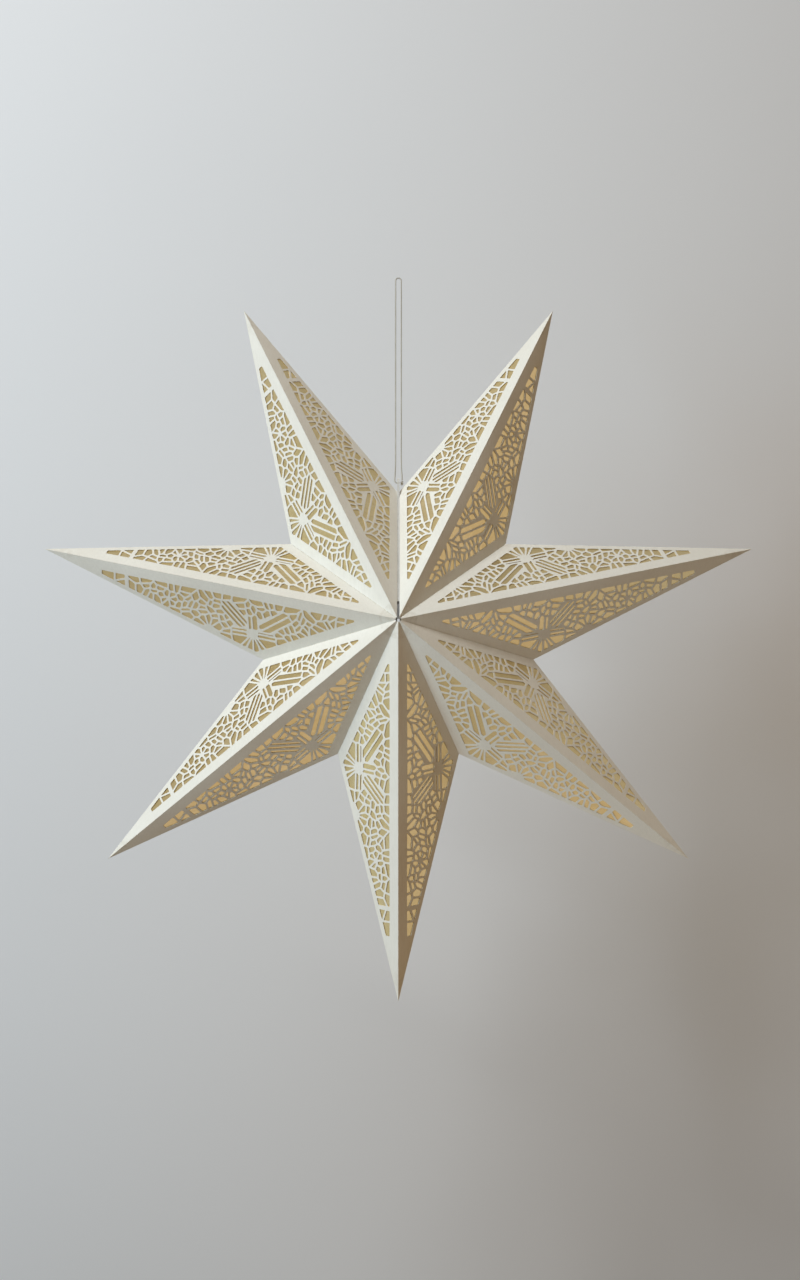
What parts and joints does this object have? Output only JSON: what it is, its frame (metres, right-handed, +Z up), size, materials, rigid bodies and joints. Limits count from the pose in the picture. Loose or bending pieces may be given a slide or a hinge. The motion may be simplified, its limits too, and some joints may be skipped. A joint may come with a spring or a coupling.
{
  "type": "folding paper star",
  "caption": "Folding paper star decoration of hollow creased rays with snowflake cut-outs over gold paper, closed at a seam and hung by a string loop.",
  "frame": {"origin": "where a hook holds the string: the inside top of the string's loop", "axes": "+X to the right seen from the front, +Y to the back along the star's axis, +Z up; one ray points straight down"},
  "size_m": [0.68, 0.1428, 0.6977],
  "materials": {
    "white_card": "matte",
    "gold_paper": "satin",
    "end_card": "matte",
    "string": "matte"
  },
  "bodies": {
    "string": {"hanging_string": "string", "string_knot": "string"},
    "star_seam": {"seam_end_card_right": "end_card"},
    "ray_1": {"ray_1_front_left_panel": "white_card", "ray_1_front_right_panel": "white_card", "ray_1_back_left_panel": "white_card", "ray_1_back_right_panel": "white_card", "ray_1_front_lining": "gold_paper", "ray_1_back_lining": "gold_paper"},
    "ray_2": {"ray_2_front_left_panel": "white_card", "ray_2_front_right_panel": "white_card", "ray_2_back_left_panel": "white_card", "ray_2_back_right_panel": "white_card", "ray_2_front_lining": "gold_paper", "ray_2_back_lining": "gold_paper"},
    "ray_3": {"ray_3_front_left_panel": "white_card", "ray_3_front_right_panel": "white_card", "ray_3_back_left_panel": "white_card", "ray_3_back_right_panel": "white_card", "ray_3_front_lining": "gold_paper", "ray_3_back_lining": "gold_paper"},
    "ray_4": {"ray_4_front_left_panel": "white_card", "ray_4_front_right_panel": "white_card", "ray_4_back_left_panel": "white_card", "ray_4_back_right_panel": "white_card", "ray_4_front_lining": "gold_paper", "ray_4_back_lining": "gold_paper"},
    "ray_5": {"ray_5_front_left_panel": "white_card", "ray_5_front_right_panel": "white_card", "ray_5_back_left_panel": "white_card", "ray_5_back_right_panel": "white_card", "ray_5_front_lining": "gold_paper", "ray_5_back_lining": "gold_paper"},
    "ray_6": {"ray_6_front_left_panel": "white_card", "ray_6_front_right_panel": "white_card", "ray_6_back_left_panel": "white_card", "ray_6_back_right_panel": "white_card", "ray_6_front_lining": "gold_paper", "ray_6_back_lining": "gold_paper"},
    "ray_7": {"ray_7_front_left_panel": "white_card", "ray_7_front_right_panel": "white_card", "ray_7_back_left_panel": "white_card", "ray_7_back_right_panel": "white_card", "ray_7_front_lining": "gold_paper", "ray_7_back_lining": "gold_paper", "seam_end_card_left": "end_card"}
  },
  "joints": [
    {"name": "star_swing", "type": "hinge", "parent": "string", "child": "star_seam", "pos_m": [0, 0, -0.205], "axis": [1, 0, 0], "range_deg": [-45, 45]},
    {"name": "ray_1_fold", "type": "hinge", "parent": "star_seam", "child": "ray_1", "pos_m": [0, 0, -0.3476], "axis": [0, -1, 0], "range_deg": [0, 22.4], "deforming": ["ray_1_front_left_panel", "ray_1_front_right_panel", "ray_1_back_left_panel", "ray_1_back_right_panel", "ray_1_front_lining", "ray_1_back_lining"]},
    {"name": "ray_2_fold", "type": "hinge", "parent": "star_seam", "child": "ray_2", "pos_m": [0, 0, -0.3476], "axis": [0, -1, 0], "range_deg": [0, 71.6], "deforming": ["ray_2_front_left_panel", "ray_2_front_right_panel", "ray_2_back_left_panel", "ray_2_back_right_panel", "ray_2_front_lining", "ray_2_back_lining"]},
    {"name": "ray_3_fold", "type": "hinge", "parent": "star_seam", "child": "ray_3", "pos_m": [0, 0, -0.3476], "axis": [0, -1, 0], "range_deg": [0, 120.8], "deforming": ["ray_3_front_left_panel", "ray_3_front_right_panel", "ray_3_back_left_panel", "ray_3_back_right_panel", "ray_3_front_lining", "ray_3_back_lining"]},
    {"name": "ray_4_fold", "type": "hinge", "parent": "star_seam", "child": "ray_4", "pos_m": [0, 0, -0.3476], "axis": [0, -1, 0], "range_deg": [0, 170.1], "deforming": ["ray_4_front_left_panel", "ray_4_front_right_panel", "ray_4_back_left_panel", "ray_4_back_right_panel", "ray_4_front_lining", "ray_4_back_lining"]},
    {"name": "ray_5_fold", "type": "hinge", "parent": "star_seam", "child": "ray_5", "pos_m": [0, 0, -0.3476], "axis": [0, -1, 0], "range_deg": [0, 219.3], "deforming": ["ray_5_front_left_panel", "ray_5_front_right_panel", "ray_5_back_left_panel", "ray_5_back_right_panel", "ray_5_front_lining", "ray_5_back_lining"]},
    {"name": "ray_6_fold", "type": "hinge", "parent": "star_seam", "child": "ray_6", "pos_m": [0, 0, -0.3476], "axis": [0, -1, 0], "range_deg": [0, 268.5], "deforming": ["ray_6_front_left_panel", "ray_6_front_right_panel", "ray_6_back_left_panel", "ray_6_back_right_panel", "ray_6_front_lining", "ray_6_back_lining"]},
    {"name": "ray_7_fold", "type": "hinge", "parent": "star_seam", "child": "ray_7", "pos_m": [0, 0, -0.3476], "axis": [0, -1, 0], "range_deg": [0, 317.7], "deforming": ["ray_7_front_left_panel", "ray_7_front_right_panel", "ray_7_back_left_panel", "ray_7_back_right_panel", "ray_7_front_lining", "ray_7_back_lining", "seam_end_card_left"]}
  ],
  "couplings": [
    {"joint": "ray_1_fold", "follows": "ray_7_fold", "ratio": 0.07024},
    {"joint": "ray_2_fold", "follows": "ray_7_fold", "ratio": 0.2252},
    {"joint": "ray_3_fold", "follows": "ray_7_fold", "ratio": 0.38016},
    {"joint": "ray_4_fold", "follows": "ray_7_fold", "ratio": 0.53512},
    {"joint": "ray_5_fold", "follows": "ray_7_fold", "ratio": 0.69008},
    {"joint": "ray_6_fold", "follows": "ray_7_fold", "ratio": 0.84504}
  ]
}
